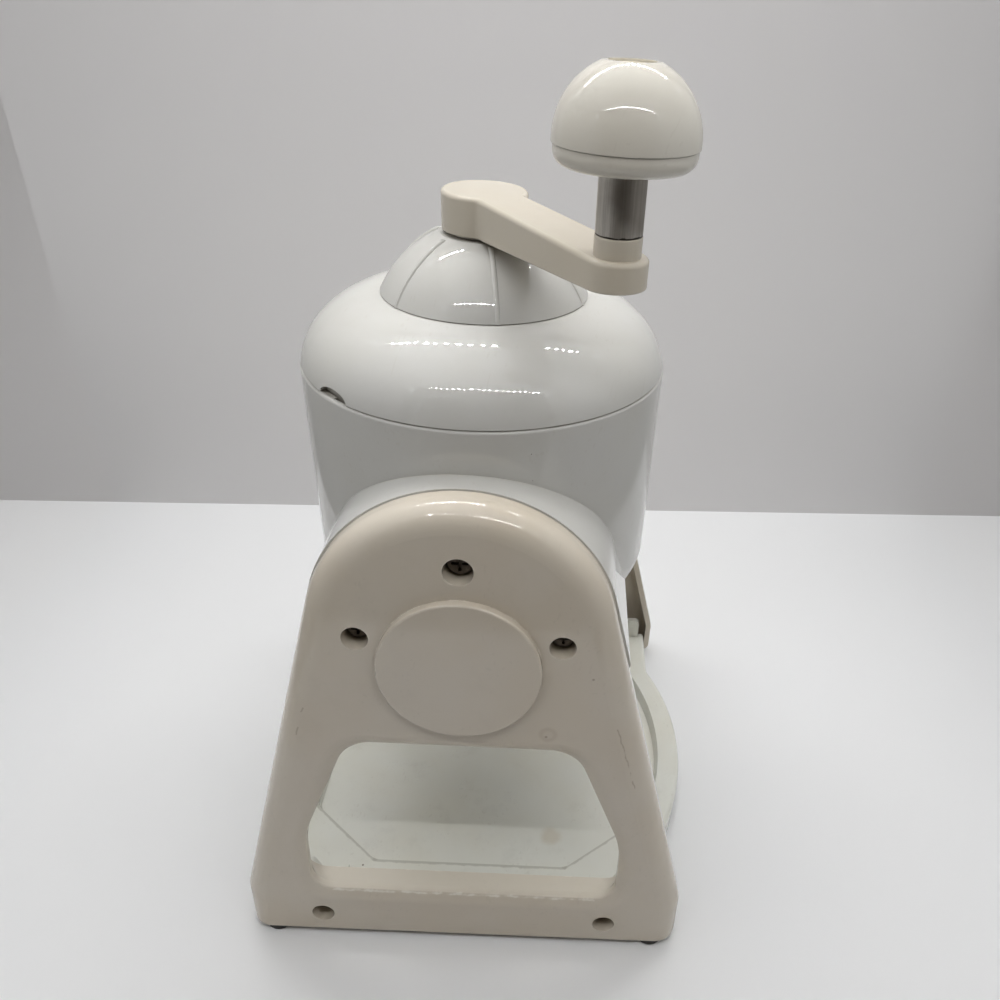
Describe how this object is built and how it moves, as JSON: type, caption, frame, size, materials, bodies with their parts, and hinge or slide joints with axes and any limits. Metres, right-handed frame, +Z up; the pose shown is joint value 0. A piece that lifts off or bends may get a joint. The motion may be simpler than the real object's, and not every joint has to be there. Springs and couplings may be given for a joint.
{
  "type": "hand cranked ice shaver",
  "caption": "Hand-cranked ice shaver: lidded round hopper held between two arched side legs over a base tray, with a top crank and ball knob that press ice onto a blade.",
  "frame": {"origin": "middle of the footprint at table level; the hopper and crank axis stands 3.95 mm behind it", "axes": "+Z up along the crank axis, +X towards the right leg, -Y towards the bulged front where the bowl goes in"},
  "size_m": [0.1794, 0.1688, 0.2948],
  "materials": {
    "white_plastic": "glossy off-white moulding",
    "cream_plastic": "glossy cream moulding, yellowed with age",
    "arm_plastic": "satin cream moulding",
    "knob_plastic": "glossy ivory moulding",
    "screw_steel": "dulled zinc-plated steel",
    "shaft_steel": "plain turned steel",
    "blade_steel": "ground stainless steel",
    "spring_steel": "drawn stainless wire",
    "spindle_aluminium": "turned aluminium, scratched along its length",
    "foot_rubber": "matt black rubber",
    "bush_nylon": "natural nylon"
  },
  "bodies": {
    "frame": {"hopper": "white_plastic", "right_leg": "cream_plastic", "left_leg": "cream_plastic", "leg_top_screws": "screw_steel", "leg_side_screws": "screw_steel", "leg_base_screws": "screw_steel", "base_tray": "white_plastic", "rubber_feet": "foot_rubber", "blade": "blade_steel", "blade_screws": "screw_steel"},
    "lid": {"lid": "white_plastic", "lid_dome": "white_plastic", "dome_screws": "screw_steel", "shaft_bush": "bush_nylon"},
    "feed": {"thrust_washer": "bush_nylon", "spring_washer": "shaft_steel", "feed_spring": "spring_steel"},
    "crank": {"crank_arm": "arm_plastic", "crank_shaft": "shaft_steel", "ice_pusher": "white_plastic", "spike_plate": "blade_steel", "pusher_nut": "screw_steel", "knob_spindle": "spindle_aluminium", "spindle_screw": "screw_steel", "knob_washer": "screw_steel", "knob_screw": "screw_steel"},
    "knob": {"knob_shell": "knob_plastic", "knob_ring": "knob_plastic", "knob_cap": "knob_plastic"}
  },
  "joints": [
    {"name": "lid_lift", "type": "slide", "parent": "frame", "child": "lid", "axis": [0, 0, 1], "range_m": [0, 0.1]},
    {"name": "feed_rise", "type": "slide", "parent": "lid", "child": "feed", "axis": [0, 0, 1], "range_m": [0, 0.055], "stiffness_N_per_m": 120, "springref_m": -0.03, "deforming": ["feed_spring"]},
    {"name": "crank_turn", "type": "hinge", "parent": "feed", "child": "crank", "pos_m": [0, 0.00395, 0.2415], "axis": [0, 0, 1], "continuous": true},
    {"name": "knob_spin", "type": "hinge", "parent": "crank", "child": "knob", "pos_m": [-0.06099, -0.03506, 0.2784], "axis": [0, 0, 1], "continuous": true}
  ]
}
